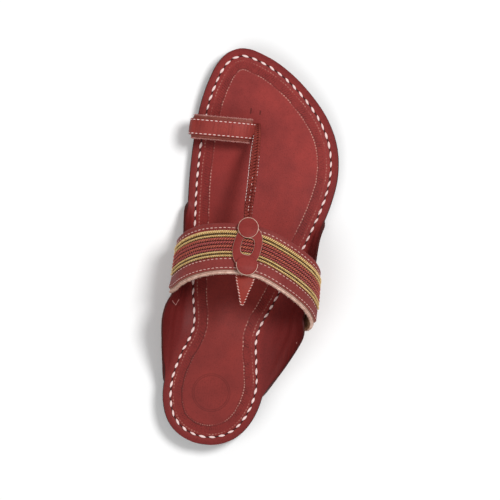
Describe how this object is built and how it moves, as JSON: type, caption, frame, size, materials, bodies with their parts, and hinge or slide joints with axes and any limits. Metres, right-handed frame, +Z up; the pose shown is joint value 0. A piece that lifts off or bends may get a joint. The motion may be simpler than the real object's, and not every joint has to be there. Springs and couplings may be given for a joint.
{
  "type": "kolhapuri sandal",
  "caption": "Flat leather toe-ring sandal for the right foot: hand-sewn sole with upturned ears, corded instep band, plaited toe strap and a disc-and-leaf ornament.",
  "frame": {"origin": "middle of the footprint, on the floor", "axes": "+Y from the heel to the toe, +X to the outer side of the right foot, +Z up"},
  "size_m": [0.1076, 0.2768, 0.078],
  "materials": {
    "footbed_leather": "dyed maroon, satin",
    "strap_leather": "dyed maroon with gold and red cords, satin",
    "ornament_leather": "dyed maroon, satin, pale cut edge",
    "sole_leather": "dark dyed edge, matte",
    "heel_leather": "dark dyed edge, matte"
  },
  "bodies": {
    "root": {"heel_lift": "heel_leather", "outsole": "sole_leather", "footbed": "footbed_leather", "upper": "strap_leather", "ornament_plate": "ornament_leather", "disc_front": "ornament_leather", "disc_rear": "ornament_leather", "leaf_tongue": "ornament_leather"}
  },
  "joints": []
}
